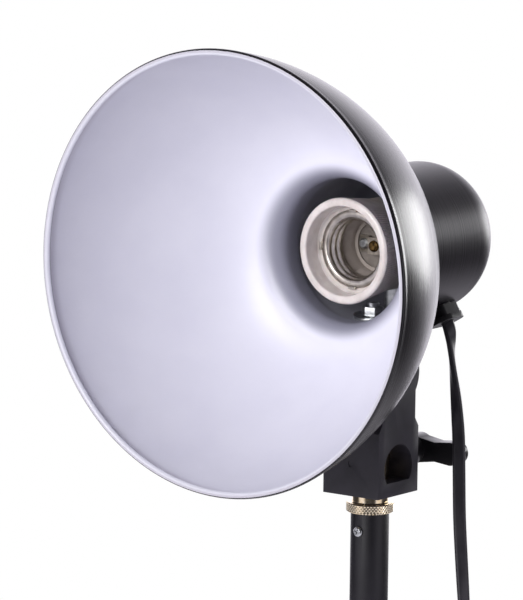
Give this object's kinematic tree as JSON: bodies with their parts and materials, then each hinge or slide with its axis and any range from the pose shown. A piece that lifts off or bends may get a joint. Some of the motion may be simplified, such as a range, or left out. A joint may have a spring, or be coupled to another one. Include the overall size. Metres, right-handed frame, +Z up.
{
  "type": "studio reflector lamp head",
  "caption": "Studio lamp head: spun bowl reflector and rear cup with a porcelain screw lamp holder, tilting on a block that clamps to a light stand's brass spigot, with a flat mains cord.",
  "frame": {"origin": "centre of the lower end of the stand's tube", "axes": "+Z up along the stand's tube; the lamp looks along -Y; +X is the side where the cord leaves"},
  "size_m": [0.18, 0.1591, 0.3904],
  "materials": {
    "black_tube": "satin black paint",
    "brass": "turned, slightly worn",
    "steel": "plain",
    "zinc": "bright zinc",
    "block_plastic": "matt black moulding",
    "wing_plastic": "satin black moulding",
    "reflector": "satin black outside, white inside",
    "cup": "black, fine spinning lines",
    "gland": "black nylon",
    "porcelain": "glazed",
    "nickel": "nickel plated",
    "core_brown": "plain",
    "core_blue": "plain",
    "cord": "satin black",
    "tie": "woven",
    "plug": "moulded"
  },
  "bodies": {
    "stand": {"stand_tube": "black_tube", "brass_spigot": "brass", "tube_screw": "zinc"},
    "swivel": {"swivel_block": "block_plastic", "clamp_insert": "brass", "tilt_bolt": "steel", "cord_drop": "cord", "cord_coil": "cord", "coil_tie": "tie", "plug_body": "plug", "plug_pins": "nickel"},
    "clamp_pad": {"clamp_pad": "brass"},
    "clamp_wing": {"clamp_screw": "steel", "clamp_wing": "wing_plastic"},
    "tilt_washer": {"tilt_washer": "zinc"},
    "tilt_wing": {"tilt_wing": "wing_plastic", "tilt_insert": "brass"},
    "head": {"tilt_tongue": "block_plastic", "head_stud": "steel", "head_nut": "zinc", "reflector_bowl": "reflector", "lamp_cup": "cup", "cord_gland": "gland", "gland_wedge": "gland", "lamp_holder": "porcelain", "screw_shell": "nickel", "centre_contact": "brass", "contact_rivet": "brass", "contact_screw": "brass", "holder_bracket": "zinc", "bracket_screws": "zinc", "terminals": "brass", "terminal_screws": "steel", "live_wire": "core_brown", "return_wire": "core_blue"}
  },
  "joints": [
    {"name": "pan", "type": "hinge", "parent": "stand", "child": "swivel", "pos_m": [0, 0, 0.0696], "axis": [0, 0, 1], "continuous": true},
    {"name": "tilt", "type": "hinge", "parent": "swivel", "child": "head", "pos_m": [0, 0, 0.1201], "axis": [1, 0, 0], "range_deg": [-45, 50], "deforming": ["cord_drop"]},
    {"name": "clamp_feed", "type": "slide", "parent": "swivel", "child": "clamp_pad", "axis": [0, 1, 0], "range_m": [0, 0.002]},
    {"name": "clamp_turn", "type": "hinge", "parent": "clamp_pad", "child": "clamp_wing", "pos_m": [0, 0.03, 0.0832], "axis": [0, 1, 0], "range_deg": [0, 720]},
    {"name": "tilt_feed", "type": "slide", "parent": "swivel", "child": "tilt_washer", "axis": [-1, 0, 0], "range_m": [0, 0.001]},
    {"name": "tilt_turn", "type": "hinge", "parent": "tilt_washer", "child": "tilt_wing", "pos_m": [-0.02, 0, 0.1201], "axis": [-1, 0, 0], "range_deg": [0, 360]}
  ],
  "couplings": [
    {"joint": "clamp_feed", "follows": "clamp_turn", "m_per_rad": 0.000159},
    {"joint": "tilt_feed", "follows": "tilt_turn", "m_per_rad": 0.000159}
  ]
}
